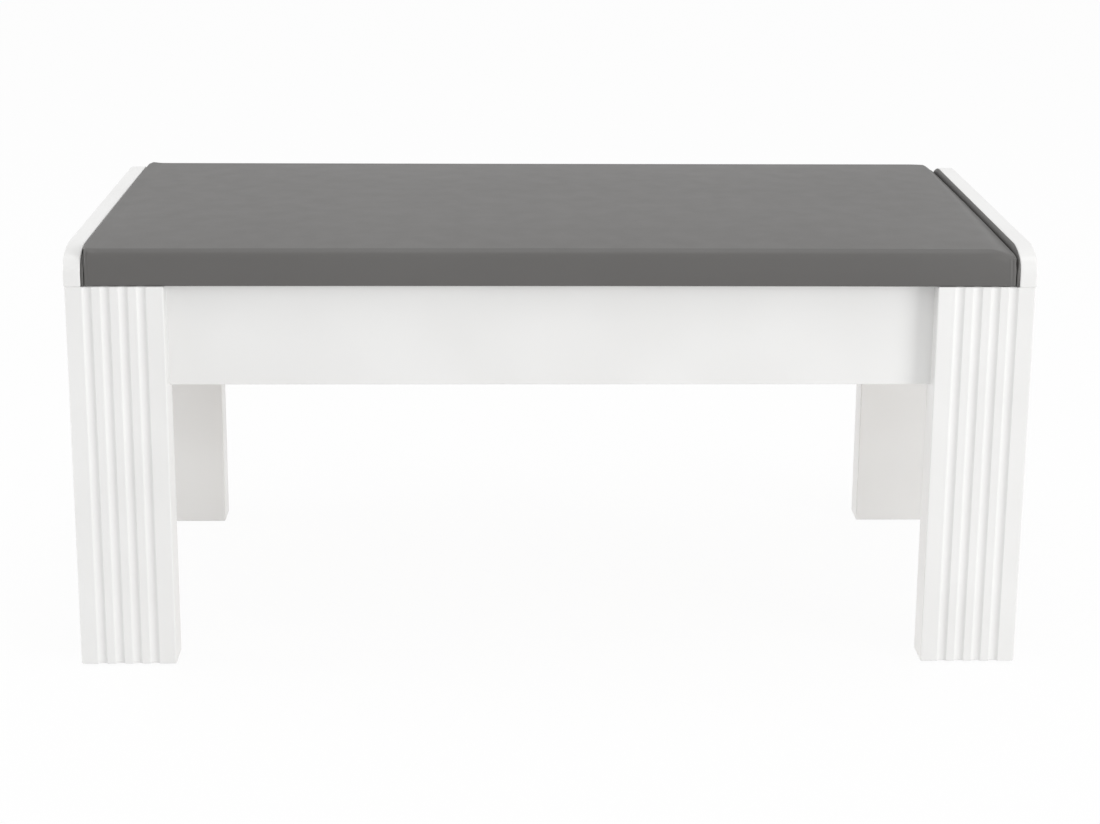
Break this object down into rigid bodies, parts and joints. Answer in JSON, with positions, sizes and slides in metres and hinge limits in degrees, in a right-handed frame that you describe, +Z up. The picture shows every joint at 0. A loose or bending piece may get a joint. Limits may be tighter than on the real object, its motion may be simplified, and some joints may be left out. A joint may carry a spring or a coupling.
{
  "type": "bench",
  "caption": "Upholstered bench: fluted white lacquered legs and aprons, round-nosed end cheeks with grey linings, and a crowned grey padded seat to sit on.",
  "frame": {"origin": "middle of the footprint, on the floor", "axes": "+X along the bench to the right as seen from the front, +Y from front to rear, +Z up"},
  "size_m": [1, 0.48, 0.46],
  "materials": {
    "white_lacquer": "satin",
    "grey_cover": "satin",
    "seat_foam": "matte",
    "chipboard": "matte",
    "beech": "matte",
    "zinc_steel": "satin",
    "glide_plastic": "satin"
  },
  "bodies": {
    "root": {"front_left_leg": "white_lacquer", "front_right_leg": "white_lacquer", "rear_left_leg": "white_lacquer", "rear_right_leg": "white_lacquer", "front_apron": "white_lacquer", "rear_apron": "white_lacquer", "left_end_rail": "white_lacquer", "right_end_rail": "white_lacquer", "centre_cross_rail": "white_lacquer", "left_cheek": "white_lacquer", "right_cheek": "white_lacquer", "left_cheek_lining": "grey_cover", "right_cheek_lining": "grey_cover", "seat_cover": "grey_cover", "seat_foam": "seat_foam", "seat_board": "chipboard", "front_left_corner_block": "beech", "front_right_corner_block": "beech", "rear_left_corner_block": "beech", "rear_right_corner_block": "beech", "apron_dowels": "beech", "end_rail_dowels": "beech", "cross_rail_dowels": "beech", "cheek_dowels": "beech", "corner_block_screws": "zinc_steel", "seat_screws": "zinc_steel", "floor_glides": "glide_plastic"}
  },
  "joints": []
}
